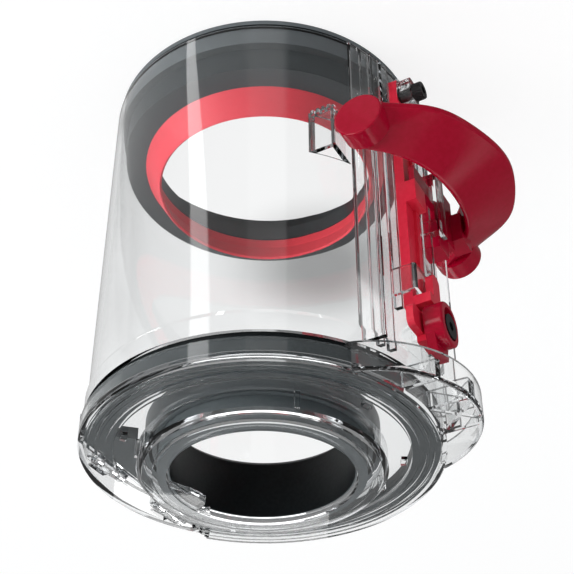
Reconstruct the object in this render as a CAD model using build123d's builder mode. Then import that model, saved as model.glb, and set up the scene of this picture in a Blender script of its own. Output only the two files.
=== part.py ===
from build123d import *
from math import sqrt
import os

# Clear dust bin of a stick vacuum cleaner, in millimetres. It stands on its open rim at z = 0 with the
# hinged base on top. +X points to the runner and the base catch, and the base hinge is on the -X side.

# Fits and walls
fit_gap = 0.3
slide_gap = 0.4
pin_fit = 0.04
shell_wall = 1.8
rib_wall = 1.6

# Clear shell
bin_radius = 58.5
bin_depth = 138.2
band_step = 0.8
band_height = 8.0

# Collar, rim seal and wiper at the open end
flange_height = 2.0
flange_inset = 0.6
rim_seal_height = 1.5
collar_wall = 1.9
collar_step_depth = 11.0
collar_step = 2.0
collar_depth = 22.2
collar_plate_width = 7.8
collar_plate_rise = 0.8
sleeve_depth = 13.0
sleeve_groove = 1.0
wiper_root_width = 2.9
wiper_step = 0.5
wiper_reach = 3.6
wiper_height = 10.1
wiper_lip = 1.3

# Hinged base
gasket_height = 2.8
gasket_width = 3.4
door_overhang = 1.7
door_height = 7.65
plate_thickness = 1.8
ridge_height = 1.6
ridge_width = 1.0
ridge_inset = 1.7
ridge_pitch = 2.6
ridge_count = 2
liner_width = 9.5
window_ridge_width = 2.4
window_post_angles = [17.0, 133.0, 330.0]
window_post_inset = 2.6
inlet_bore = 30.2
inlet_height = 7.1
sleeve_reach = 7.2
sleeve_wall = 4.0
sleeve_flare = 2.4
tube_gap = 5.0
lip_width = 5.0
clip_count = 4
clip_angle = 46.0

# Base hinge along the chord
chord_clearance = 4.2
hinge_drop = 3.25
chord_gap = 3.3
apron_gap = 0.6
apron_rise = 1.2
knuckle_radius = 3.1
knuckle_width = 7.4
knuckle_spacing = 37.0
lug_width = 4.0
pin_radius = 1.0

# Catch hood on the base
hood_radius = 36.0
hood_reach = 16.2
hood_edge = 1.5
hood_rib_rows = [-13.0, 2.6, 16.4]
hood_brace_length = 19.0
hood_brace_angle = 45.0

# Runner on the shell
runner_half_width = 29.0
runner_rise = 0.5
runner_end_gap = 1.6
ramp_start = 0.8
ramp_rise = 6.4
ramp_length = 11.2
rib_rows = [24.4, 20.5]
rib_rises = [-2.5, -0.5]
channel_centre = 9.45
channel_rise = 5.1
channel_reach = 14.5

# Push rod, its stop, guide and catch actuator
rod_width = 8.5
rod_thickness = 3.4
rod_start = 24.5
rod_rise = 0.4
rod_rib_width = 2.6
rod_rib_height = 1.0
foot_height = 3.6
lobe_width = 5.6
lobe_thickness = 2.6
lobe_length = 13.0
lobe_corner = 2.2
link_width = 5.0
link_shift = 1.2
link_height = 5.0
tongue_rise = 3.6
stop_screw_height = 19.5
stop_height = 9.0
stop_shift = 1.1
stop_corner = 2.2
stop_rise = 8.5
guide_inset = 35.7
guide_height = 10.0
guide_corner = 1.2
guide_drop = 1.5
boss_radius = 6.8
boss_stretch = 2.0
boss_thickness = 6.4
boss_edge = 0.8
recess_length = 11.6
recess_width = 9.0
nose_length = 3.8
nose_thickness = 3.0
wing_reach = 5.0
wing_height = 8.0
wing_thickness = 2.4
screw_radius = 1.7
screw_head_radius = 3.2
screw_head_height = 3.6
socket_depth = 2.2
disc_radius = 4.2
disc_height = 2.4

# Release lever and its carriage
lever_height = 57.0
lever_half_height = 8.5
lever_rows = [0.0, 12.0, 22.0, 30.0, 36.0, 41.5]
lever_inner = [16.5, 15.1, 10.5, 3.5, -2.9, -4.5]
lever_tops = [12.0, 11.4, 9.5, 8.2, 8.0, 6.5]
lever_outer = [36.8, 34.8, 31.0, 26.0, 18.5, 9.0]
lever_drops = [0.0, 0.3, 0.8, 1.6, 2.4, 3.0]
lever_tapers = [0.0, 0.0, 0.0, 0.2, 1.1, 2.0]
bead_radius = 1.5
tip_thickness = 2.4
tip_radius = 1.1
horn_rise = 1.0
horn_start = 36.0
horn_end = 44.0
horn_edge = 0.6
carriage_start = 48.0
carriage_length = 32.0
face_start = 50.0
face_height = 22.0
face_reach = 20.0
finger_start = 58.0
finger_height = 6.0
drive_height = 9.0
carriage_face = 2.0
bridge_start = 18.0
bridge_end = 27.0
bridge_rise = 11.5
bridge_height = 12.0
lever_travel = 6.0

# Keeper over the carriage
keeper_start = 50.0
keeper_height = 26.0
keeper_foot = 5.2
keeper_overlap = 3.2

# Side lugs that lock the bin to the cleaner
side_lug_inset = 8.3
side_lug_reach = 13.2
side_lug_start = 46.0
side_lug_height = 18.0
tooth_count = 4
tooth_pitch = 2.1
tooth_height = 0.8
tooth_length = 2.0

# Heights and radii that follow from the sizes above
shell_inner = bin_radius - shell_wall
shell_start = flange_height + rim_seal_height
band_radius = bin_radius + band_step
flange_radius = bin_radius - flange_inset
collar_radius = shell_inner - slide_gap
step_radius = collar_radius - collar_step
wiper_root_radius = step_radius - collar_plate_width
sleeve_bore = wiper_root_radius - wiper_root_width
gasket_base = bin_depth + fit_gap
door_base = gasket_base + gasket_height
door_top = door_base + door_height
plate_top = door_top - ridge_height
plate_base = plate_top - plate_thickness
door_radius = bin_radius + door_overhang
skirt_inner = door_radius - shell_wall
liner_radius = skirt_inner - liner_width
inlet_top = door_top + inlet_height
tube_inner = inlet_bore + sleeve_wall + tube_gap
tube_radius = tube_inner + shell_wall
chord_offset = tube_radius + chord_clearance
hinge_offset = chord_offset + chord_gap
hinge_height = door_top - hinge_drop
apron_top = hinge_height + apron_rise
hood_front = bin_radius + hood_reach
hood_centre = hood_front - hood_radius
hood_base = gasket_base + fit_gap
runner_end = bin_depth - runner_end_gap
channel_top = bin_radius + channel_rise
rod_floor = bin_radius + rod_rise
rod_face = rod_floor + rod_thickness
finger_low = channel_top + slide_gap
plate_front = finger_low + carriage_face
guide_start = bin_depth - guide_inset
guide_end = guide_start + guide_height
foot_start = guide_end + slide_gap
foot_end = foot_start + foot_height
boss_height = hood_base - fit_gap - lever_travel - boss_radius
boss_base = rod_face + tongue_rise
boss_top = boss_base + boss_thickness
nose_end = boss_height + boss_radius + nose_length
keeper_middle = keeper_start + keeper_height / 2
wide = 4 * bin_radius


def section(points):
    """A closed section in the XZ plane, from corners given as radius and height."""
    with BuildSketch(Plane.XZ) as outline:
        with BuildLine():
            Polyline(*points, close=True)
        make_face()
    return outline.sketch


def chord_disc(radius, chord, height, inside=True):
    """A disc cut by the hinge chord: the large part towards the catch, or the small segment beyond it."""
    with BuildSketch(Plane.XY.offset(height)) as disc:
        Circle(radius)
        side = -1 if inside else 1
        with Locations((side * wide / 2 - chord, 0)):
            Rectangle(wide, wide, mode=Mode.SUBTRACT)
    return disc.sketch


def shell_root(row):
    """Distance from the axis plane to the middle of the shell wall, at a row beside the middle plane."""
    return sqrt(bin_radius**2 - row**2) - shell_wall / 2


def runner_walls(rows, rises):
    """Walls on both sides of the runner, each at a row and rising from the shell to a height over it."""
    with BuildSketch(Plane.XY.offset(shell_start)) as walls:
        for row, rise in zip(rows, rises):
            root = shell_root(row + rib_wall / 2)
            middle = (root + bin_radius + rise) / 2
            with Locations((middle, row), (middle, -row)):
                Rectangle(bin_radius + rise - root, rib_wall)
    return walls.sketch


def lever_section(row, station):
    """The lever's section at a row: a tall inner side, arched to the base, that runs out to a thin edge."""
    half = lever_half_height - lever_tapers[station]
    edge = lever_height - lever_drops[station]
    with BuildSketch(Plane((bin_radius, row, 0), x_dir=(1, 0, 0), z_dir=(0, -1, 0))) as outline:
        with BuildLine():
            Polyline(
                (lever_inner[station], lever_height - half),
                (lever_outer[station], edge - tip_thickness / 2),
                (lever_outer[station], edge + tip_thickness / 2),
                (lever_inner[station], lever_height + lever_tops[station]),
                close=True,
            )
        make_face()
        fillet(outline.vertices().group_by(Axis.X)[0], bead_radius)
        fillet(outline.vertices().group_by(Axis.X)[-1], tip_radius)
    return outline.sketch


# Collar: the dark ring in the open end, stepped outside, with a flange to rest on and a sleeve inside
with BuildPart() as collar:
    plate_under = collar_depth - collar_wall
    plate_over = collar_depth + collar_plate_rise
    step_top = collar_step_depth + collar_step / 2
    revolve(
        section(
            [
                (collar_radius - collar_wall, 0),
                (flange_radius, 0),
                (flange_radius, flange_height),
                (collar_radius, flange_height),
                (collar_radius, collar_step_depth),
                (step_radius, step_top),
                (step_radius, collar_depth),
                (wiper_root_radius, plate_over),
                (wiper_root_radius, plate_under),
                (sleeve_bore + sleeve_groove, plate_under),
                (sleeve_bore + sleeve_groove, plate_under - sleeve_groove),
                (sleeve_bore, plate_under - sleeve_groove),
                (sleeve_bore, sleeve_depth),
                (sleeve_bore + collar_wall, sleeve_depth),
                (sleeve_bore + collar_wall, plate_under - collar_wall),
                (step_radius - collar_wall, plate_under - collar_wall),
                (step_radius - collar_wall, step_top),
                (collar_radius - collar_wall, collar_step_depth),
            ]
        ),
        axis=Axis.Z,
    )
collar.part.label = "collar"

# Rim seal: the black ring between the collar's flange and the shell's edge
with BuildPart() as rim_seal:
    revolve(
        section(
            [
                (collar_radius + pin_fit, flange_height),
                (flange_radius, flange_height),
                (flange_radius + pin_fit, (flange_height + shell_start) / 2),
                (flange_radius, shell_start),
                (collar_radius + pin_fit, shell_start),
            ]
        ),
        axis=Axis.Z,
    )
rim_seal.part.label = "rim_seal"

# Wiper: the red rubber cone that wipes the shroud, seated against the collar's plate
with BuildPart() as wiper:
    lip_end = collar_depth + wiper_height
    lip_radius = sleeve_bore - wiper_reach
    revolve(
        section(
            [
                (sleeve_bore - wiper_step, plate_under),
                (wiper_root_radius - pin_fit, plate_under),
                (wiper_root_radius - pin_fit, plate_over),
                (lip_radius + wiper_lip, lip_end - wiper_lip / 2),
                (lip_radius + wiper_lip / 2, lip_end),
                (lip_radius, lip_end - wiper_lip / 2),
                (sleeve_bore - wiper_step, plate_over + wiper_lip),
            ]
        ),
        axis=Axis.Z,
    )
wiper.part.label = "wiper"

# Shell: the clear tube with its base band, hinge apron, runner walls and side lugs
with BuildPart() as bin_shell:
    revolve(
        section(
            [
                (shell_inner, shell_start),
                (bin_radius, shell_start),
                (bin_radius, bin_depth - band_height),
                (band_radius, bin_depth - band_height + shell_wall),
                (band_radius, bin_depth),
                (shell_inner, bin_depth),
            ]
        ),
        axis=Axis.Z,
    )
    # Hinge apron: a hood beyond the chord, and the ledge that the chord of the seal closes on
    apron_chord = chord_offset + apron_gap
    pocket_chord = apron_chord + shell_wall
    ledge_base = bin_depth - shell_wall
    ledge_chord = chord_offset - gasket_width - fit_gap
    extrude(chord_disc(door_radius, apron_chord, bin_depth, inside=False), amount=apron_top - bin_depth)
    extrude(
        chord_disc(door_radius - shell_wall, pocket_chord, bin_depth, inside=False),
        amount=apron_top - shell_wall - bin_depth,
        mode=Mode.SUBTRACT,
    )
    with BuildSketch(Plane.XY.offset(ledge_base)):
        Circle(shell_inner + shell_wall / 2)
        with Locations((wide / 2 - ledge_chord, 0), (-wide / 2 - pocket_chord, 0)):
            Rectangle(wide, wide, mode=Mode.SUBTRACT)
    extrude(amount=shell_wall)
    # Hinge lugs beside each knuckle, the knuckle's slot and the pin's hole
    slot_half = knuckle_width / 2 + slide_gap
    lug_length = 2 * (slot_half + lug_width)
    lug_radius = chord_gap - slide_gap
    lug_back = hinge_offset + lug_radius
    lug_base = hinge_height - hinge_drop - lug_radius
    for side in (-1, 1):
        row = side * knuckle_spacing / 2
        with Locations((-(lug_back + apron_chord) / 2, row, (lug_base + hinge_height) / 2)):
            Box(lug_back - apron_chord, lug_length, hinge_height - lug_base)
        with Locations((-hinge_offset, row, hinge_height)):
            Cylinder(lug_radius, lug_length, rotation=(90, 0, 0))
            Box(2 * knuckle_radius + lug_width, 2 * slot_half, 4 * knuckle_radius, mode=Mode.SUBTRACT)
            Cylinder(pin_radius + pin_fit, lug_length, rotation=(90, 0, 0), mode=Mode.SUBTRACT)
    # Runner: side walls, ribs and the two channels that the rod and the lever's carriage slide in
    channel_half = rod_width / 2 + slide_gap + rib_wall / 2
    channel_rows = [channel_centre + channel_half, channel_centre - channel_half]
    side_walls = runner_walls([runner_half_width] + rib_rows, [runner_rise] + rib_rises)
    extrude(side_walls, amount=runner_end - shell_start)
    channel_rises = [runner_rise, channel_rise]
    extrude(runner_walls(channel_rows, channel_rises), amount=guide_start + channel_reach - shell_start)
    # Ramp that lets the runner slide on to the cleaner from the rim
    ramp = [(bin_radius + ramp_start, shell_start)]
    ramp += [(bin_radius + ramp_start + ramp_rise, shell_start + ramp_length)]
    ramp += [(wide, shell_start + ramp_length), (wide, shell_start)]
    revolve(section(ramp), axis=Axis.Z, mode=Mode.SUBTRACT)
    # Post under the rod's stop, with the screw's hole
    stop_seat = rod_face - fit_gap
    with BuildSketch(Plane.YZ.offset(shell_root(channel_centre))):
        with Locations((channel_centre, stop_screw_height)):
            Circle(screw_head_radius)
    extrude(amount=stop_seat - shell_root(channel_centre))
    with Locations(Plane((stop_seat, channel_centre, stop_screw_height), z_dir=(1, 0, 0))):
        Hole(screw_radius + pin_fit, depth=rod_thickness)
    # Side lugs: square blocks beside the runner, toothed at the rim end, hollow and open towards the base
    side_front = bin_radius - side_lug_inset
    side_far = runner_half_width + side_lug_reach
    tooth_middle = (side_front + sqrt(bin_radius**2 - side_far**2)) / 2
    for side in (-1, 1):
        with BuildSketch(Plane.XY.offset(side_lug_start)):
            with Locations((side_front / 2, side * (runner_half_width + side_far) / 2)):
                Rectangle(side_front, side_lug_reach)
            Circle(bin_radius - shell_wall / 2, mode=Mode.SUBTRACT)
        extrude(amount=side_lug_height)
        with BuildSketch(Plane.XY.offset(side_lug_start)):
            with Locations((tooth_middle, side * side_far)):
                with GridLocations(tooth_pitch, tooth_pitch, tooth_count, 1):
                    Rectangle(tooth_pitch / 2, 2 * tooth_height)
        extrude(amount=tooth_length)
        with BuildSketch(Plane.XY.offset(side_lug_start + rib_wall)):
            pocket_row = side * (runner_half_width + side_far - rib_wall) / 2
            with Locations(((side_front - rib_wall) / 2, pocket_row)):
                Rectangle(side_front - rib_wall, side_lug_reach - rib_wall)
            Circle(bin_radius + fit_gap, mode=Mode.SUBTRACT)
        extrude(amount=side_lug_height, mode=Mode.SUBTRACT)
    with BuildSketch(Plane.XY.offset(shell_start)):
        Circle(shell_inner)
    extrude(amount=ledge_base - shell_start, mode=Mode.SUBTRACT)
bin_shell.part.label = "bin_shell"

# Base door: the clear annular base with its ridges, inlet tube, catch hood and hinge knuckles
with BuildPart() as base_door:
    hood_inner = hood_radius - rib_wall
    with BuildSketch(Plane.XY.offset(hood_base)):
        with Locations((hood_centre, 0)):
            Circle(hood_radius)
    extrude(amount=door_top - hood_base)
    fillet(base_door.edges().group_by(Axis.Z)[-1], hood_edge)
    with BuildSketch(Plane.XY.offset(hood_base)):
        with Locations((hood_centre, 0)):
            Circle(hood_inner)
    extrude(amount=door_top - plate_thickness - hood_base, mode=Mode.SUBTRACT)
    with BuildSketch(Plane.XY.offset(door_base)):
        for row in hood_rib_rows:
            with Locations((hood_centre + hood_radius / 2, row)):
                Rectangle(hood_radius, rib_wall)
        with Locations(((door_radius + hood_front) / 2, (hood_rib_rows[0] + hood_rib_rows[1]) / 2)):
            Rectangle(hood_brace_length, rib_wall, rotation=hood_brace_angle)
            Rectangle(hood_brace_length, rib_wall, rotation=-hood_brace_angle)
        with Locations((hood_centre, 0)):
            Circle(hood_inner + rib_wall / 2, mode=Mode.INTERSECT)
    extrude(amount=door_height - plate_thickness / 2)
    with BuildSketch(Plane.XY.offset(hood_base)):
        Circle(door_radius - shell_wall / 2)
    extrude(amount=door_top, mode=Mode.SUBTRACT)
    # Ridged ring and stepped inlet tube, cut off along the hinge chord
    ring = [(skirt_inner, door_base), (door_radius, door_base), (door_radius, door_top - ridge_width / 2)]
    ring += [(door_radius - ridge_width / 2, door_top), (skirt_inner, door_top), (skirt_inner, plate_top)]
    for ridge in range(ridge_count):
        ridge_outer = skirt_inner - ridge_inset - ridge * ridge_pitch + ridge_width / 2
        ring += [(ridge_outer, plate_top), (ridge_outer, door_top)]
        ring += [(ridge_outer - ridge_width, door_top), (ridge_outer - ridge_width, plate_top)]
    ring += [(liner_radius + window_ridge_width, plate_top), (liner_radius + window_ridge_width, door_top)]
    ring += [(liner_radius, door_top), (liner_radius, plate_top), (tube_radius, plate_top)]
    tube_end = inlet_top - plate_thickness - ridge_height / 2
    mouth_bore = inlet_bore + slide_gap
    mouth_radius = mouth_bore + lip_width
    step_end = tube_end + ridge_width
    ring += [(tube_radius, tube_end), (tube_radius - plate_thickness, tube_end + plate_thickness)]
    ring += [(mouth_radius + ridge_width, tube_end + plate_thickness), (mouth_radius + ridge_width, step_end)]
    ring += [(mouth_radius, step_end), (mouth_radius, inlet_top), (mouth_bore + ridge_width / 2, inlet_top)]
    ring += [(mouth_bore, inlet_top - ridge_width / 2), (mouth_bore, tube_end), (tube_inner, tube_end)]
    ring += [(tube_inner, plate_base), (skirt_inner, plate_base)]
    revolve(section(ring), axis=Axis.Z)
    with Locations((-chord_offset - wide / 2, 0, door_top)):
        Box(wide, wide, wide, mode=Mode.SUBTRACT)
    # Clip ribs on the inlet tube, and posts in the window around it
    with BuildSketch(Plane.XY.offset(plate_base + plate_thickness / 2)):
        with PolarLocations(tube_radius, clip_count, start_angle=clip_angle):
            Rectangle(2 * ridge_width, rib_wall)
    extrude(amount=tube_end - plate_base - plate_thickness / 2)
    with BuildSketch(Plane.XY.offset(plate_base + plate_thickness / 2)):
        for angle in window_post_angles:
            with PolarLocations(liner_radius - window_post_inset, 1, start_angle=angle):
                Rectangle(2 * ridge_width, 2 * rib_wall)
    extrude(amount=plate_thickness / 2 + ridge_height)
    # Hinge knuckles on the chord
    for side in (-1, 1):
        row = side * knuckle_spacing / 2
        arm = chord_gap + shell_wall
        with Locations((-hinge_offset + arm / 2, row, (plate_base + plate_top) / 2)):
            Box(arm, knuckle_width, plate_thickness)
        with Locations((-hinge_offset, row, hinge_height)):
            Cylinder(knuckle_radius, knuckle_width, rotation=(90, 0, 0))
            Cylinder(pin_radius + pin_fit, knuckle_width, rotation=(90, 0, 0), mode=Mode.SUBTRACT)
base_door.part.label = "base_door"

# Hinge pins: a steel pin through each knuckle and its two lugs
with BuildPart() as hinge_pin_left:
    with Locations((-hinge_offset, knuckle_spacing / 2, hinge_height)):
        Cylinder(pin_radius, lug_length - fit_gap, rotation=(90, 0, 0))
hinge_pin_left.part.label = "hinge_pin_left"

with BuildPart() as hinge_pin_right:
    with Locations((-hinge_offset, -knuckle_spacing / 2, hinge_height)):
        Cylinder(pin_radius, lug_length - fit_gap, rotation=(90, 0, 0))
hinge_pin_right.part.label = "hinge_pin_right"

# Base seal: the black gasket that closes on the shell's end face and on the ledge
with BuildPart() as base_seal:
    extrude(chord_disc(skirt_inner, chord_offset, gasket_base), amount=gasket_height)
    inner_chord = chord_offset - gasket_width
    seal_opening = chord_disc(skirt_inner - gasket_width, inner_chord, gasket_base)
    extrude(seal_opening, amount=gasket_height, mode=Mode.SUBTRACT)
base_seal.part.label = "base_seal"

# Door liner: the dark rubber ring behind the ridges, open at the chord
with BuildPart() as door_liner:
    extrude(chord_disc(skirt_inner - pin_fit, chord_offset, door_base), amount=plate_base - door_base)
    extrude(chord_disc(liner_radius, wide / 2, door_base), amount=plate_base - door_base, mode=Mode.SUBTRACT)
door_liner.part.label = "door_liner"

# Inlet collar: the dark channel ring inside the clear inlet tube
with BuildPart() as inlet_collar:
    collar_outer = tube_inner - fit_gap
    collar_inner = inlet_bore + sleeve_wall + fit_gap
    collar_base = gasket_base - gasket_height
    collar_web = collar_base + collar_wall
    revolve(
        section(
            [
                (collar_inner, collar_base),
                (collar_outer, collar_base),
                (collar_outer, plate_base),
                (collar_outer - rib_wall, plate_base),
                (collar_outer - rib_wall, collar_web),
                (collar_inner + rib_wall, collar_web),
                (collar_inner + rib_wall, plate_base),
                (collar_inner, plate_base),
            ]
        ),
        axis=Axis.Z,
    )
inlet_collar.part.label = "inlet_collar"

# Inlet sleeve: the black rubber throat that seals on the wand
with BuildPart() as inlet_sleeve:
    sleeve_base = bin_depth - sleeve_reach
    revolve(
        section(
            [
                (inlet_bore + sleeve_flare, sleeve_base),
                (inlet_bore + sleeve_wall, sleeve_base),
                (inlet_bore + sleeve_wall, tube_end),
                (inlet_bore, tube_end),
                (inlet_bore, sleeve_base + sleeve_flare),
            ]
        ),
        axis=Axis.Z,
    )
inlet_sleeve.part.label = "inlet_sleeve"

# Push rod: the red strip in its channel, with its drive block, the foot that hooks over the guide, and the
# slanted link to the tongue that carries the boss
with BuildPart() as push_rod:
    drive_start = finger_start + finger_height
    drive_end = drive_start + drive_height
    rod_low = channel_centre - rod_width / 2
    lobe_base = channel_top + rib_wall + slide_gap
    lobe_face = lobe_base + lobe_thickness
    with BuildSketch(Plane.XZ.offset(-rod_low)):
        with BuildLine():
            Polyline(
                (rod_floor, rod_start),
                (rod_face, rod_start),
                (rod_face, drive_start),
                (plate_front, drive_start),
                (plate_front, drive_end),
                (rod_face, drive_end),
                (rod_face, foot_start),
                (lobe_face, foot_start),
                (lobe_face, foot_end),
                (rod_floor, foot_end),
                close=True,
            )
        make_face()
    extrude(amount=-rod_width)
    with Locations((rod_face, rod_low + rod_rib_width / 2, (rod_start + foot_start) / 2)):
        Box(2 * rod_rib_height, rod_rib_width, foot_start - rod_start)
    with BuildSketch(Plane.YZ.offset(lobe_base)):
        with Locations((rod_low + lobe_width / 2, foot_end - lobe_length / 2)):
            RectangleRounded(lobe_width, lobe_length, lobe_corner)
    extrude(amount=lobe_thickness)
    # Slanted link, tongue and the wing beside it
    tongue_base = rod_floor + tongue_rise
    tongue_start = foot_end + link_height
    tongue_end = boss_height + boss_radius - rib_wall
    with BuildSketch(Plane.XZ.offset(link_width / 2 - channel_centre - link_shift)):
        with BuildLine():
            Polyline(
                (rod_floor, foot_end - rib_wall),
                (rod_face, foot_end - rib_wall),
                (rod_face, foot_end),
                (boss_base, tongue_start),
                (boss_base, tongue_start + rib_wall),
                (tongue_base, tongue_start + rib_wall),
                (tongue_base, tongue_start),
                (rod_floor, foot_end),
                close=True,
            )
        make_face()
    extrude(amount=-link_width)
    with Locations(((tongue_base + boss_base) / 2, channel_centre, (tongue_start + tongue_end) / 2)):
        Box(boss_base - tongue_base, rod_width, tongue_end - tongue_start)
    with BuildSketch(Plane.YZ.offset(tongue_base)):
        with Locations((channel_centre + boss_radius, boss_height - boss_stretch / 2)):
            RectangleRounded(2 * wing_reach, wing_height, lobe_corner)
    extrude(amount=wing_thickness)
    with Locations(Plane((boss_base, channel_centre, boss_height), z_dir=(1, 0, 0))):
        Hole(screw_radius + pin_fit, depth=rod_thickness)
push_rod.part.label = "push_rod"

# Catch actuator: the red screwed boss whose nose enters the hood and frees the catch
with BuildPart() as catch_actuator:
    with BuildSketch(Plane.YZ.offset(boss_base)):
        with Locations((channel_centre, boss_height - boss_stretch / 2)):
            SlotCenterToCenter(boss_stretch, 2 * boss_radius, rotation=90)
    extrude(amount=boss_thickness)
    fillet(catch_actuator.edges().group_by(Axis.X)[-1], boss_edge)
    with BuildSketch(Plane.YZ.offset(boss_base)):
        with BuildLine():
            Polyline(
                (channel_centre - boss_radius, boss_height),
                (channel_centre + boss_radius, boss_height),
                (channel_centre + boss_radius / 2, nose_end),
                (channel_centre - boss_radius / 2, nose_end),
                close=True,
            )
        make_face()
    extrude(amount=nose_thickness)
    # Long recess around the screw's head, and the screw's hole
    with BuildSketch(Plane.YZ.offset(boss_top)):
        with Locations((channel_centre, boss_height - boss_stretch / 2)):
            SlotOverall(recess_length, recess_width, rotation=90)
    extrude(amount=fit_gap - disc_height, mode=Mode.SUBTRACT)
    with Locations(Plane((boss_top, channel_centre, boss_height), z_dir=(1, 0, 0))):
        Hole(screw_radius + pin_fit)
catch_actuator.part.label = "catch_actuator"

# Actuator screw: black, with a flat disc head and a hex socket
with BuildPart() as actuator_screw:
    head_seat = boss_top - disc_height + fit_gap
    with BuildSketch(Plane.YZ.offset(head_seat)):
        with Locations((channel_centre, boss_height)):
            Circle(disc_radius)
    extrude(amount=disc_height)
    with BuildSketch(Plane.YZ.offset(head_seat + disc_height)):
        with Locations((channel_centre, boss_height)):
            RegularPolygon(screw_radius, 6)
    extrude(amount=-disc_height / 2, mode=Mode.SUBTRACT)
    with BuildSketch(Plane.YZ.offset(boss_base - rod_thickness + fit_gap)):
        with Locations((channel_centre, boss_height)):
            Circle(screw_radius)
    extrude(amount=head_seat - boss_base + rod_thickness)
actuator_screw.part.label = "actuator_screw"

# Rod stop: the clear lug over the rod's rim end, held by a screw into the post
with BuildPart() as rod_stop:
    stop_top = bin_radius + stop_rise
    with Locations(((stop_seat + stop_top) / 2, channel_centre, stop_screw_height - stop_shift)):
        Box(stop_top - stop_seat, rod_width, stop_height)
    fillet(rod_stop.edges().filter_by(Axis.X), stop_corner)
    with Locations(Plane((stop_top, channel_centre, stop_screw_height), z_dir=(1, 0, 0))):
        Hole(screw_radius + pin_fit)
rod_stop.part.label = "rod_stop"

# Stop screw: black socket head
with BuildPart() as stop_screw:
    with BuildSketch(Plane.YZ.offset(stop_top)):
        with Locations((channel_centre, stop_screw_height)):
            Circle(screw_head_radius)
    extrude(amount=screw_head_height)
    with BuildSketch(Plane.YZ.offset(stop_top + screw_head_height)):
        with Locations((channel_centre, stop_screw_height)):
            RegularPolygon(screw_radius, 6)
    extrude(amount=-socket_depth, mode=Mode.SUBTRACT)
    with BuildSketch(Plane.YZ.offset(stop_seat - rod_thickness + fit_gap)):
        with Locations((channel_centre, stop_screw_height)):
            Circle(screw_radius)
    extrude(amount=stop_top - stop_seat + rod_thickness - fit_gap)
stop_screw.part.label = "stop_screw"

# Rod guide: the clear strap over the rod, clipped on the tall wall and on the low wall of its channel
with BuildPart() as rod_guide:
    strap_half = channel_half + rib_wall / 2 + pin_fit
    strap_top = channel_top + rib_wall
    with BuildSketch(Plane.XY.offset(guide_start)) as strap:
        with Locations(((rod_floor + strap_top) / 2, channel_centre)):
            Rectangle(strap_top - rod_floor, 2 * (strap_half + rib_wall))
        fillet(strap.vertices().group_by(Axis.X)[-1], guide_corner)
        with Locations(((rod_floor + channel_top) / 2, channel_centre)):
            Rectangle(channel_top - rod_floor, 2 * strap_half, mode=Mode.SUBTRACT)
        leg_row = channel_centre + strap_half + rib_wall / 2
        with Locations(((bin_radius - guide_drop + channel_top) / 2, leg_row)):
            Rectangle(channel_top - bin_radius + guide_drop, rib_wall)
    extrude(amount=guide_height)
rod_guide.part.label = "rod_guide"

# Carriage keeper: the clear clip on the channel's wall, whose lip holds the carriage down
with BuildPart() as carriage_keeper:
    keeper_seat = channel_top + pin_fit
    keeper_low = plate_front + slide_gap
    keeper_face = keeper_low + rib_wall
    wall_near = channel_half - channel_centre - rib_wall / 2
    wall_far = wall_near + rib_wall + pin_fit
    clip_far = wall_far + rib_wall
    lip_edge = wall_near - keeper_overlap
    with Locations(((keeper_low + keeper_face) / 2, (lip_edge + clip_far) / 2, keeper_middle)):
        Box(rib_wall, clip_far - lip_edge, keeper_height)
    for end in (-1, 1):
        foot_middle = keeper_middle + end * (keeper_height - keeper_foot) / 2
        with Locations(((keeper_seat + keeper_face) / 2, (wall_near + clip_far) / 2, foot_middle)):
            Box(keeper_face - keeper_seat, clip_far - wall_near, keeper_foot)
        with Locations(((rod_floor + keeper_face) / 2, (wall_far + clip_far) / 2, foot_middle)):
            Box(keeper_face - rod_floor, clip_far - wall_far, keeper_foot)
carriage_keeper.part.label = "carriage_keeper"

# Release lever: the red crescent that the thumb pushes, with a round horn at each end
with BuildPart() as release_lever:
    stations = range(len(lever_rows))
    sections = [lever_section(-lever_rows[station], station) for station in reversed(stations[1:])]
    sections += [lever_section(lever_rows[station], station) for station in stations]
    loft(sections)
    for side in (-1, 1):
        horn_foot = (bin_radius + horn_rise, side * horn_start, lever_height)
        with BuildSketch(Plane(horn_foot, x_dir=(1, 0, 0), z_dir=(0, side, 0))):
            Circle(lever_half_height)
        extrude(amount=horn_end - horn_start)
    fillet(release_lever.faces().sort_by(Axis.Y)[-1].edges(), horn_edge)
    fillet(release_lever.faces().sort_by(Axis.Y)[0].edges(), horn_edge)
    # Carriage in its channel, its front plate, the finger that pushes the rod, and the bridge to the lever
    carriage_middle = carriage_start + carriage_length / 2
    with Locations(((rod_floor + plate_front) / 2, -channel_centre, carriage_middle)):
        Box(plate_front - rod_floor, rod_width, carriage_length)
    face_width = face_reach - channel_centre + rod_width / 2
    face_row = face_width / 2 - face_reach
    with Locations(((finger_low + plate_front) / 2, face_row, face_start + face_height / 2)):
        Box(carriage_face, face_width, face_height)
    with Locations(((finger_low + plate_front) / 2, 0, finger_start + finger_height / 2)):
        Box(carriage_face, 2 * channel_centre + rod_width, finger_height)
    bridge_far = bin_radius + bridge_rise
    bridge_row = -(bridge_start + bridge_end) / 2
    with Locations(((finger_low + bridge_far) / 2, bridge_row, lever_height + bridge_height / 2)):
        Box(bridge_far - finger_low, bridge_end - bridge_start, bridge_height)
release_lever.part.label = "release_lever"

pieces = [collar, rim_seal, wiper, bin_shell, base_door, hinge_pin_left, hinge_pin_right, base_seal]
pieces += [door_liner, inlet_collar, inlet_sleeve, push_rod, catch_actuator, actuator_screw, rod_stop]
pieces += [stop_screw, rod_guide, carriage_keeper, release_lever]
os.makedirs("parts", exist_ok=True)
for piece in pieces:
    export_step(piece.part, f"parts/{piece.part.label}.step")
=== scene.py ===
import math

import bmesh
import bpy
from mathutils import Matrix, Vector


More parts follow.
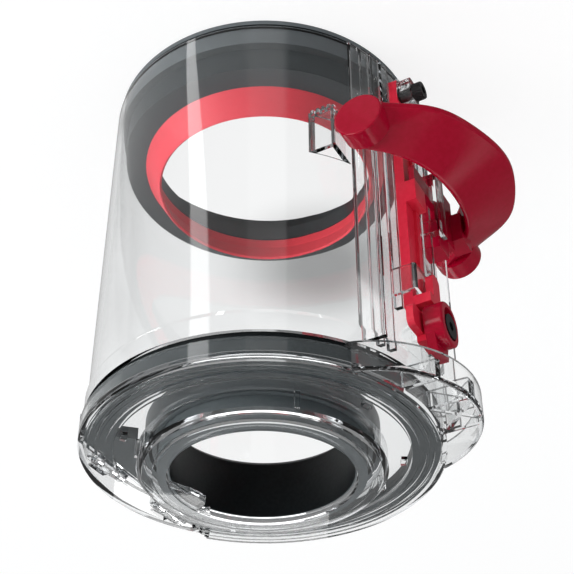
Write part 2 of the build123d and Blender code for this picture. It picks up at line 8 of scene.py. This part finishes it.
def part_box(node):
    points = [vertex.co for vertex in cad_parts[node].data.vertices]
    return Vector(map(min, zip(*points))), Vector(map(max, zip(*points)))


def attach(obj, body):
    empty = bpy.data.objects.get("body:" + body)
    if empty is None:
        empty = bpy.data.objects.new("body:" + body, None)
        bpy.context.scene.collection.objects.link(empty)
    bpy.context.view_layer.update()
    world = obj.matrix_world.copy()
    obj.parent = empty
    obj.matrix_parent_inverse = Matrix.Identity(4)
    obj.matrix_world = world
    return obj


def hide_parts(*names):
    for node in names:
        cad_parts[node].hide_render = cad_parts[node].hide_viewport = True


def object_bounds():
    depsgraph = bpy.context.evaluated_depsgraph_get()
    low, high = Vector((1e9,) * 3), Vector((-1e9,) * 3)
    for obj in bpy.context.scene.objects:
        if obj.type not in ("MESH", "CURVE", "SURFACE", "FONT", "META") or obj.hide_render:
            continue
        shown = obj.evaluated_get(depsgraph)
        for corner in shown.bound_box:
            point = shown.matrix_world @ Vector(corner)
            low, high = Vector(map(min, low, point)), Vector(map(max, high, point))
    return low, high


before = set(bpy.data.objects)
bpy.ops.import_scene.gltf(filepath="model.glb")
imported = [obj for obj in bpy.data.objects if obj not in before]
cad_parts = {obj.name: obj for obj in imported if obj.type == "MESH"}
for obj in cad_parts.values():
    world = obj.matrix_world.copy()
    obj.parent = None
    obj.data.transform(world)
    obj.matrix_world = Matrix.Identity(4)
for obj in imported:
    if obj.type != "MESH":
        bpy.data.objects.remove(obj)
cad_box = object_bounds()

# Shell: the round clear tube that holds the dust, moulded in one piece from polycarbonate with its runner
# walls, its side lugs and the apron of the hinge. It is polished inside and out, and a long way through the
# plastic, as along an edge, looks grey.


def new_material(name):
    """A new node material, with its node tree and its surface shader."""
    material = bpy.data.materials.new(name)
    material.use_nodes = True
    return material, material.node_tree, material.node_tree.nodes["Principled BSDF"]


def show_to(rays, shader, tree, output="Material Output"):
    """Puts another shader in front of the one that is there, for the rays that are given."""
    surface = tree.nodes[output].inputs["Surface"]
    mix = tree.nodes.new("ShaderNodeMixShader")
    tree.links.new(rays, mix.inputs["Fac"])
    tree.links.new(surface.links[0].from_socket, mix.inputs[1])
    tree.links.new(shader.outputs[0], mix.inputs[2])
    tree.links.new(mix.outputs[0], surface)


def dress(node, material):
    """Gives a CAD node its finish."""
    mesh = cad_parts[node].data
    mesh.materials.clear()
    mesh.materials.append(material)


clear_plastic, tree, shader = new_material("clear_plastic")
shader.inputs["Base Color"].default_value = (0.985, 0.99, 0.99, 1.0)
shader.inputs["Roughness"].default_value = 0.01
shader.inputs["IOR"].default_value = 1.49
shader.inputs["Transmission Weight"].default_value = 1.0
absorption = tree.nodes.new("ShaderNodeVolumeAbsorption")
absorption.inputs["Color"].default_value = (0.58, 0.6, 0.62, 1.0)
absorption.inputs["Density"].default_value = 45.0
tree.links.new(absorption.outputs["Volume"], tree.nodes["Material Output"].inputs["Volume"])
lamp_light = tree.nodes.new("ShaderNodeBsdfTransparent")
lamp_light.inputs["Color"].default_value = (0.96, 0.96, 0.96, 1.0)
path = tree.nodes.new("ShaderNodeLightPath")
show_to(path.outputs["Is Shadow Ray"], lamp_light, tree)
dress("bin_shell", clear_plastic)

# Collar: the dark ring that closes the open end around the wiper. It is moulded in one piece from dark grey
# plastic with a fine satin grain. Its stepped outside is pressed into the shell, and the band that touches
# the shell is painted lighter than the step behind it, with a lit copy of the same grey as painted light.


def grained(name, low, high, scale, height, roughness, gloss=0.5, metal=0.0):
    """A finish with a fine grain in object space, which varies the colour and lifts the surface."""
    material, tree, shader = new_material(name)
    place = tree.nodes.new("ShaderNodeTexCoord")
    noise = tree.nodes.new("ShaderNodeTexNoise")
    noise.inputs["Scale"].default_value = scale
    noise.inputs["Detail"].default_value = 3.0
    bump = tree.nodes.new("ShaderNodeBump")
    bump.inputs["Distance"].default_value = height
    ramp = tree.nodes.new("ShaderNodeValToRGB")
    for element, position, colour in zip(ramp.color_ramp.elements, (0.35, 0.65), (low, high)):
        element.position = position
        element.color = (*colour, 1.0)
    tree.links.new(place.outputs["Object"], noise.inputs["Vector"])
    tree.links.new(noise.outputs["Fac"], bump.inputs["Height"])
    tree.links.new(noise.outputs["Fac"], ramp.inputs["Fac"])
    tree.links.new(bump.outputs["Normal"], shader.inputs["Normal"])
    tree.links.new(ramp.outputs["Color"], shader.inputs["Base Color"])
    shader.inputs["Roughness"].default_value = roughness
    shader.inputs["Specular IOR Level"].default_value = gloss
    shader.inputs["Metallic"].default_value = metal
    return material


def second_finish(mesh, material, chosen):
    """Gives some faces a finish of their own, by radius, height, and how far they face out and up."""
    mesh.materials.append(material)
    for face in mesh.polygons:
        out = Vector((face.center.x, face.center.y, 0.0))
        if chosen(out.length, face.center.z, face.normal.dot(out.normalized()), face.normal.z):
            face.material_index = len(mesh.materials) - 1


satin = {"scale": 2600.0, "height": 0.00002, "roughness": 0.4, "gloss": 0.35}
grey_plastic = grained("grey_plastic", (0.04, 0.048, 0.052), (0.052, 0.061, 0.065), **satin)
dress("collar", grey_plastic)
# Painted light: the band against the shell gets a lighter, lit copy of the collar's grey plastic.
painted_light_band_grey = grained("painted_light_band_grey", (0.13, 0.147, 0.156), (0.15, 0.168, 0.178), **satin)
band_radius = 0.054
band_height = 0.0112
well_turned = 0.7
second_finish(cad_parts["collar"].data, painted_light_band_grey, lambda radius, height, outward, upward: (
    radius > band_radius and height < band_height and outward > well_turned))

# Seals: black rubber rings, moulded and stretched into their grooves at the rim and under the base. They are
# matt, with a slight bloom that varies in a fine grain over them.
black_rubber = grained("black_rubber", (0.003, 0.0045, 0.005), (0.006, 0.008, 0.009),
                       scale=900.0, height=0.00003, roughness=0.45, gloss=0.1)
for node in ("rim_seal", "base_seal"):
    dress(node, black_rubber)

# Wiper: the red cone of soft rubber that wipes the dust from the shroud. It is moulded on the collar's
# plate, with a satin skin.
red_rubber = grained("red_rubber", (0.86, 0.05, 0.075), (0.9, 0.06, 0.09),
                     scale=1400.0, height=0.00002, roughness=0.45, gloss=0.35)
dress("wiper", red_rubber)

# Rod stop, rod guide and carriage keeper: small clear clips of the shell's own plastic, pressed on the walls
# of the runner or screwed to its post. They hold the rod and the carriage down in their channels.
for node in ("rod_stop", "rod_guide", "carriage_keeper"):
    dress(node, clear_plastic)

# Lever and catch boss: glossy mouldings in a deep red, coloured through. The lever is snapped on its
# carriage in the runner, the boss is screwed to the end of the push rod, and all three slide together.
red_plastic = grained("red_plastic", (0.35, 0.001, 0.018), (0.38, 0.002, 0.023),
                      scale=600.0, height=0.000004, roughness=0.14, gloss=0.22)
for node in ("release_lever", "catch_actuator"):
    dress(node, red_plastic)

# Push rod: the long red link from the carriage to the boss, moulded in a lighter red and laid in the
# runner's channel. Its end under the clear stop is forked, and the two prongs slide past the stop's screw.
rod_red = grained("rod_red", (0.66, 0.014, 0.04), (0.7, 0.02, 0.05),
                  scale=600.0, height=0.000004, roughness=0.3, gloss=0.3)
dress("push_rod", rod_red)


def prism(shape, outline, sweep):
    """Adds to a shape in the making a flat outline that is swept straight along a vector."""
    face = shape.faces.new([shape.verts.new(point) for point in outline])
    swept = bmesh.ops.extrude_face_region(shape, geom=[face])
    moved = [item for item in swept["geom"] if isinstance(item, bmesh.types.BMVert)]
    bmesh.ops.translate(shape, verts=moved, vec=sweep)


def placed(name, data):
    """An object of the scene that holds the given mesh, lamp or camera."""
    item = bpy.data.objects.new(name, data)
    bpy.context.scene.collection.objects.link(item)
    return item


def new_piece(name, shape, material):
    """A mesh object made from a finished shape, in one material."""
    mesh = bpy.data.meshes.new(name)
    bmesh.ops.recalc_face_normals(shape, faces=shape.faces[:])
    shape.to_mesh(mesh)
    shape.free()
    mesh.materials.append(material)
    return placed(name, mesh)


rod_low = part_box("push_rod")[0]
stop_low, stop_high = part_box("rod_stop")
fork_gap = 0.0001
prong_width = 0.00085
fork_depth = stop_low[0] - fork_gap - rod_low[0]
fork_left, fork_right = stop_low[1], stop_high[1]
slot_left, slot_right = fork_left + prong_width, fork_right - prong_width
fork_start, fork_root, fork_end = (z + fork_gap for z in (stop_low[2], stop_high[2], rod_low[2]))
fork_plan = [(fork_left, fork_end), (fork_left, fork_start), (slot_left, fork_start), (slot_left, fork_root),
             (slot_right, fork_root), (slot_right, fork_start), (fork_right, fork_start),
             (fork_right, fork_end)]
shape = bmesh.new()
prism(shape, [(rod_low[0], y, z) for y, z in fork_plan], (fork_depth, 0.0, 0.0))
rod_fork = new_piece("rod_fork", shape, rod_red)
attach(rod_fork, "slider")

# Screws: blackened steel with a hex socket. The one in the rod's stop is a cap screw with a knurled head,
# rolled in straight ridges around its side.
black_steel = grained("black_steel", (0.012, 0.012, 0.013), (0.03, 0.03, 0.032),
                      scale=3000.0, height=0.00001, roughness=0.4, metal=0.6)
for node in ("actuator_screw", "stop_screw"):
    dress(node, black_steel)


def knurl_tree():
    """Nodes for a knurl: straight ridges set around a circle, along its axis."""
    tree = bpy.data.node_groups.new("knurl", "GeometryNodeTree")
    sizes = {}
    for name, kind in (("Ridges", "NodeSocketInt"), ("Head radius", "NodeSocketFloat"),
                       ("Ridge radius", "NodeSocketFloat"), ("Ridge length", "NodeSocketFloat")):
        sizes[name] = tree.interface.new_socket(name, in_out="INPUT", socket_type=kind).identifier
    tree.interface.new_socket("Geometry", in_out="OUTPUT", socket_type="NodeSocketGeometry")
    given = tree.nodes.new("NodeGroupInput")
    circle = tree.nodes.new("GeometryNodeMeshCircle")
    ridge = tree.nodes.new("GeometryNodeMeshCylinder")
    ridge.inputs["Vertices"].default_value = 8
    place = tree.nodes.new("GeometryNodeInstanceOnPoints")
    realize = tree.nodes.new("GeometryNodeRealizeInstances")
    finish = tree.nodes.new("GeometryNodeSetMaterial")
    finish.inputs["Material"].default_value = black_steel
    made = tree.nodes.new("NodeGroupOutput")
    tree.links.new(given.outputs["Ridges"], circle.inputs["Vertices"])
    tree.links.new(given.outputs["Head radius"], circle.inputs["Radius"])
    tree.links.new(given.outputs["Ridge radius"], ridge.inputs["Radius"])
    tree.links.new(given.outputs["Ridge length"], ridge.inputs["Depth"])
    tree.links.new(circle.outputs["Mesh"], place.inputs["Points"])
    tree.links.new(ridge.outputs["Mesh"], place.inputs["Instance"])
    tree.links.new(place.outputs["Instances"], realize.inputs["Geometry"])
    tree.links.new(realize.outputs["Geometry"], finish.inputs["Geometry"])
    tree.links.new(finish.outputs["Geometry"], made.inputs["Geometry"])
    return tree, sizes


def grown(name, tree, values):
    """A plain mesh object grown by a node tree, with its inputs set by their identifiers."""
    seed = placed(name + "_seed", bpy.data.meshes.new(name + "_seed"))
    modifier = seed.modifiers.new(name, "NODES")
    modifier.node_group = tree
    for identifier, value in values.items():
        modifier[identifier] = value
    ready = seed.evaluated_get(bpy.context.evaluated_depsgraph_get())
    mesh = bpy.data.meshes.new_from_object(ready)
    seed.modifiers.remove(modifier)
    bpy.data.objects.remove(seed)
    return placed(name, mesh)


screw_low, screw_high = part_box("stop_screw")
head_length = 0.0036
head_radius = (screw_high[2] - screw_low[2]) / 2
head_middle = Vector((screw_high[0] - head_length / 2, (screw_low[1] + screw_high[1]) / 2,
                      (screw_low[2] + screw_high[2]) / 2))
ridge_count = 28
ridge_radius = 0.00018
ridge_length = head_length * 0.8
tree, sizes = knurl_tree()
knurl = grown("stop_screw_knurl", tree, {
    sizes["Ridges"]: ridge_count, sizes["Head radius"]: head_radius,
    sizes["Ridge radius"]: ridge_radius, sizes["Ridge length"]: ridge_length,
})
knurl.data.transform(Matrix.Translation(head_middle) @ Matrix.Rotation(math.radians(90), 4, "Y"))
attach(knurl, "bin")

# Inlet collar: the grey ring around the sleeve that stiffens the inlet tube, moulded in the collar's
# plastic. It is pressed into the clear tube of the base from inside, around the foot of the sleeve. Its grey
# is a lighter copy of the collar's grey, painted light that lifts it where the lamps reach it little.
# Painted light: this grey is lighter than the collar's own grey plastic.
inlet_grey_painted_light = grained("inlet_grey_painted_light", (0.085, 0.1, 0.106), (0.103, 0.12, 0.127), **satin)
dress("inlet_collar", inlet_grey_painted_light)

# Inlet sleeve: the rubber throat that grips the wand, black inside. Its outside and its end faces get the
# inlet grey, which is partly the grey of the collar around it and partly painted light: it is the lightened
# copy, and on the end faces it is a painted sheen under the clear lip. It is pressed up against the clear
# lip, with a hair of air between them.
hair_of_air = 0.00008
end_depth = 0.0001
same_corner = 0.000001
sharp_edge = math.radians(30)


def lowered_copy(node, name, material, body):
    """A copy of a CAD node in a new finish, with its top end a hair below the clear plate on it."""
    mesh = bpy.data.meshes.new(name)
    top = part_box(node)[1][2]
    shape = bmesh.new()
    shape.from_mesh(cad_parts[node].data)
    bmesh.ops.remove_doubles(shape, verts=shape.verts[:], dist=same_corner)
    for corner in shape.verts:
        if corner.co.z > top - end_depth:
            corner.co.z -= hair_of_air
    for face in shape.faces:
        face.smooth = True
        face.material_index = 0
    shape.to_mesh(mesh)
    shape.free()
    mesh.set_sharp_from_angle(angle=sharp_edge)
    mesh.materials.append(material)
    piece = placed(name, mesh)
    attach(piece, body)
    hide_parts(node)
    return piece


throat = lowered_copy("inlet_sleeve", "inlet_throat", black_rubber, "base")
# Painted light: the throat's outward and upward faces get the lightened inlet grey, a painted sheen on its
# end.
second_finish(throat.data, inlet_grey_painted_light, lambda radius, height, outward, upward: (
    outward > well_turned or upward > well_turned))

# Base door: the clear annular base with its ridges, its inlet tube and the hood of its catch, moulded in the
# shell's plastic. It swings on the hinge and closes with its seal on the end of the shell.
dress("base_door", clear_plastic)

# Door liner: the dark grey rubber ring behind the ridges of the base, moulded on to it around the window.
# Its face lies against the clear plate with a hair of air between, so that the plate keeps its own gloss.
dark_rubber = grained("dark_rubber", (0.05, 0.061, 0.065), (0.065, 0.078, 0.082),
                      scale=1200.0, height=0.00002, roughness=0.45, gloss=0.3)
lowered_copy("door_liner", "liner_ring", dark_rubber, "base")

# Liner apron: the part of the same rubber ring that runs on along the hinge chord and closes the window
# there. It is cut off straight at the chord, and it is moulded with the ring.
liner_low, liner_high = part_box("door_liner")
apron_inner = 0.0413
apron_outer = 0.0488
chord_gap = 0.0003
apron_chord = liner_low[0] + chord_gap
apron_heights = (liner_low[2], liner_high[2] - hair_of_air)
apron_start, apron_end = math.radians(137), math.radians(223)
apron_steps = 24
shape = bmesh.new()
rows = []
for step in range(apron_steps + 1):
    angle = apron_start + (apron_end - apron_start) * step / apron_steps
    edges = (apron_inner, min(apron_outer, apron_chord / math.cos(angle)))
    rows.append([shape.verts.new((radius * math.cos(angle), radius * math.sin(angle), height))
                 for radius in edges for height in apron_heights])
for first, second in zip(rows, rows[1:]):
    for a, b in ((0, 1), (1, 3), (3, 2), (2, 0)):
        shape.faces.new((first[a], first[b], second[b], second[a]))
for row in (rows[0], rows[-1]):
    shape.faces.new((row[0], row[1], row[3], row[2]))
liner_apron = new_piece("liner_apron", shape, dark_rubber)
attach(liner_apron, "base")

# Wand catch: the small clear tooth inside the mouth of the inlet, with a rib beside it, moulded on the lip
# at the hinge side. It snaps into a notch in the wand's end, so it reaches in over the sleeve.
lip_radius = 0.0313
set_back = 0.0002
lip_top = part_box("base_door")[1][2] - set_back
root_start, root_end, root_steps = 195, 158, 6
tooth_height = 0.0026
tooth_plan = [(0.0284, 165), (0.0256, 173), (0.0243, 181), (0.0245, 190), (0.0266, 193.5)]
tooth_plan += [(lip_radius, root_start + (root_end - root_start) * step / root_steps)
               for step in range(root_steps + 1)]
rib_height = 0.0014
rib_plan = [(lip_radius, 197), (0.027, 200), (lip_radius, 206), (lip_radius, 201.5)]
edge_round = 0.0003
shape = bmesh.new()
for plan, height in ((tooth_plan, tooth_height), (rib_plan, rib_height)):
    outline = []
    for radius, degrees in plan:
        turn = math.radians(degrees)
        outline.append((radius * math.cos(turn), radius * math.sin(turn), lip_top))
    prism(shape, outline, (0.0, 0.0, -height))
bmesh.ops.bevel(shape, geom=shape.edges[:], offset=edge_round, segments=2, profile=0.5, affect="EDGES")
wand_catch = new_piece("wand_catch", shape, clear_plastic)
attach(wand_catch, "base")

# Hinge pins: two short pins of plain bright steel, drawn and cut to length. Each is pressed through the lugs
# of the apron, and the knuckles of the base turn on it.
bright_steel = grained("bright_steel", (0.52, 0.52, 0.53), (0.6, 0.6, 0.61),
                       scale=4000.0, height=0.00001, roughness=0.3, metal=1.0)
for node in ("hinge_pin_left", "hinge_pin_right"):
    dress(node, bright_steel)

# Studio: a plain white floor that keeps the shadow. To gloss and clear plastic the floor glows with painted
# reflections: white behind the bin but for a painted grey shadow patch seen through the shell, and grey in
# front, in three painted panels with a painted bright strip, a painted highlight. The room is dim, with a
# bright ceiling that the ridges of the base catch.
floor_half = 3.0
floor_gap = 0.0002
floor_height = cad_box[0].z - floor_gap
floor_mesh = bpy.data.meshes.new("floor")
floor_mesh.from_pydata([(x * floor_half, y * floor_half, floor_height)
                        for x, y in ((-1, -1), (1, -1), (1, 1), (-1, 1))], [], [(0, 1, 2, 3)])
floor = placed("floor", floor_mesh)

floor_white, tree, shader = new_material("floor_white")
shader.inputs["Base Color"].default_value = (0.8, 0.8, 0.8, 1.0)
shader.inputs["Roughness"].default_value = 0.9
shader.inputs["Specular IOR Level"].default_value = 0.0
floor_mesh.materials.append(floor_white)


def floor_length(tree, operation, vector):
    """A length of the floor in metres, as the operation measures it from the vector."""
    place = tree.nodes.new("ShaderNodeTexCoord")
    measure = tree.nodes.new("ShaderNodeVectorMath")
    measure.operation = operation
    measure.inputs[1].default_value = vector
    tree.links.new(place.outputs["Object"], measure.inputs[0])
    return measure.outputs["Value"]


def along(tree, x, y):
    """How far a point of the floor lies along a direction."""
    return floor_length(tree, "DOT_PRODUCT", (x, y, 0.0))


def away(tree, x, y):
    """How far a point of the floor lies from a place on it."""
    return floor_length(tree, "DISTANCE", (x, y, floor_height))


def combined(tree, operation, first, second):
    """Two values worked into one, each a socket or a number."""
    node = tree.nodes.new("ShaderNodeMath")
    node.operation = operation
    for socket, value in zip(node.inputs, (first, second)):
        if isinstance(value, float):
            socket.default_value = value
        else:
            tree.links.new(value, socket)
    return node.outputs[0]


def eased(tree, value, start, end, low, high):
    """A value spread smoothly from one level to another between two places."""
    spread = tree.nodes.new("ShaderNodeMapRange")
    spread.interpolation_type = "SMOOTHSTEP"
    for name, number in zip(("From Min", "From Max", "To Min", "To Max"), (start, end, low, high)):
        spread.inputs[name].default_value = number
    tree.links.new(value, spread.inputs["Value"])
    return spread.outputs["Result"]


def chosen_level(tree, share, first, second):
    """The first level, or the second one as far as the share goes."""
    mix = tree.nodes.new("ShaderNodeMix")
    for name, value in (("Factor", share), ("A", first), ("B", second)):
        if isinstance(value, float):
            mix.inputs[name].default_value = value
        else:
            tree.links.new(value, mix.inputs[name])
    return mix.outputs["Result"]


def mirrored(tree, path):
    """Whether a ray comes to the eye by gloss and clear plastic alone, without lighting a matt surface."""
    clear = combined(tree, "MAXIMUM", path.outputs["Is Glossy Ray"], path.outputs["Is Transmission Ray"])
    straight = combined(tree, "SUBTRACT", clear, path.outputs["Diffuse Depth"])
    return combined(tree, "GREATER_THAN", straight, 0.5)


front_way = (0.48, 0.877)
path = tree.nodes.new("ShaderNodeLightPath")
by_gloss = combined(tree, "SUBTRACT", 1.0, path.outputs["Is Transmission Ray"])
near_side = eased(tree, along(tree, *front_way), -0.004, 0.012, 0.0, 1.0)
outside = eased(tree, away(tree, 0.0, 0.0), 0.0595, 0.0625, 0.0, 1.0)
in_front = combined(tree, "MULTIPLY", near_side, outside)

# Painted highlight: a bright strip glowing on the floor, seen only in gloss and through clear plastic.
strip_offset = 0.0375
strip_curve = 0.002273
strip_spread = 0.13
strip_inset = 0.006
strip_strength = 4.2
strip_bend = combined(tree, "DIVIDE", strip_curve, along(tree, 0.0, 1.0))
strip_place = combined(tree, "ADD", along(tree, 1.0, 0.0), strip_offset)
off_strip = combined(tree, "SUBTRACT", strip_place, strip_bend)
strip_half = combined(tree, "SUBTRACT", along(tree, 0.0, strip_spread), strip_inset)
across_strip = combined(tree, "ABSOLUTE", combined(tree, "DIVIDE", off_strip, strip_half), 0.0)
painted_highlight_level = eased(tree, across_strip, 0.8, 1.15, strip_strength, 0.0)
strip = combined(tree, "MULTIPLY", painted_highlight_level, combined(tree, "MULTIPLY", by_gloss, in_front))

# Painted reflections in front, and behind the bin a painted grey shadow patch seen through the clear
# plastic.
grey_level, pale_level, dark_level = 0.42, 0.62, 0.18
pale_painted_panel = eased(tree, along(tree, 0.941, -0.337), -0.002, 0.004, grey_level, pale_level)
dark_painted_panel = eased(tree, along(tree, 0.715, -0.699), -0.012, -0.005, pale_level, dark_level)
painted_front_reflection = combined(tree, "ADD", strip, combined(tree, "MINIMUM", pale_painted_panel, dark_painted_panel))
painted_shadow_level = eased(tree, away(tree, -0.020, -0.088), 0.008, 0.055, grey_level, 1.0)
painted_reflection_level = chosen_level(tree, combined(tree, "MAXIMUM", in_front, by_gloss), painted_shadow_level, painted_front_reflection)
white_level = 1.16
white_part = 0.7
glow = tree.nodes.new("ShaderNodeEmission")
tree.links.new(chosen_level(tree, path.outputs["Is Camera Ray"], painted_reflection_level, white_level),
               glow.inputs["Strength"])
white_share = combined(tree, "MULTIPLY", path.outputs["Is Camera Ray"], white_part)
show_to(combined(tree, "MAXIMUM", mirrored(tree, path), white_share), glow, tree)

world = bpy.data.worlds.new("studio")
bpy.context.scene.world = world
world.use_nodes = True
tree = world.node_tree
room = tree.nodes["Background"]
room.inputs["Color"].default_value = (0.93, 0.95, 0.97, 1.0)
room.inputs["Strength"].default_value = 0.6
aim = tree.nodes.new("ShaderNodeTexCoord")
parts = tree.nodes.new("ShaderNodeSeparateXYZ")
tree.links.new(aim.outputs["Generated"], parts.inputs["Vector"])
dim_level, ceiling_level = 0.35, 2.6
overhead = eased(tree, parts.outputs["Z"], 0.62, 0.8, 0.0, ceiling_level)
far_side = combined(tree, "ADD", combined(tree, "MULTIPLY", parts.outputs["X"], -front_way[0]),
                    combined(tree, "MULTIPLY", parts.outputs["Y"], -front_way[1]))
ceiling = combined(tree, "MULTIPLY", overhead, eased(tree, far_side, -0.05, 0.15, 0.0, 1.0))
dim_room = tree.nodes.new("ShaderNodeBackground")
tree.links.new(combined(tree, "ADD", ceiling, dim_level), dim_room.inputs["Strength"])
white_room = tree.nodes.new("ShaderNodeBackground")
white_room.inputs["Color"].default_value = (1.0, 1.0, 1.0, 1.0)
path = tree.nodes.new("ShaderNodeLightPath")
show_to(mirrored(tree, path), dim_room, tree, "World Output")
show_to(path.outputs["Is Camera Ray"], white_room, tree, "World Output")


def soft_lamp(name, place, side, power):
    """A square soft lamp that faces the middle of the bin."""
    lamp = bpy.data.lights.new(name, "AREA")
    lamp.shape = "SQUARE"
    lamp.size = side
    lamp.energy = power
    holder = placed(name, lamp)
    middle = (cad_box[0] + cad_box[1]) / 2
    holder.location = place
    holder.rotation_euler = (middle - Vector(place)).to_track_quat("-Z", "Y").to_euler()


soft_lamp("key_lamp", (-0.6, 0.8, 0.35), 0.5, 6.2)
soft_lamp("fill_lamp", (0.95, 0.2, 0.35), 0.6, 0.5)
soft_lamp("top_lamp", (0.1, 0.2, 1.1), 0.8, 0.8)
soft_lamp("back_lamp", (-0.458, -0.705, 0.473), 0.22, 0.3)

# Camera: it looks down on the base end from the side away from the hinge, held upside down, so that the
# open rim comes to the top of the picture.
photo_size = 574
focal_pixels = 1269.25
camera_data = bpy.data.cameras.new("camera")
camera_data.sensor_width = 36.0
camera_data.lens = camera_data.sensor_width * focal_pixels / photo_size
camera = placed("camera", camera_data)
right = Vector((0.8767, -0.4810, 0.0)).normalized()
forward = Vector((-0.3817, -0.6958, -0.6084)).normalized()
up = right.cross(forward)
camera.matrix_world = Matrix((right, up, -forward)).transposed().to_4x4()
camera.location = (0.1819, 0.3150, 0.3559)
bpy.context.scene.camera = camera
bpy.context.scene.view_settings.view_transform = "Standard"
light_paths = bpy.context.scene.cycles
light_paths.max_bounces = 24
light_paths.glossy_bounces = 16
light_paths.transmission_bounces = 24
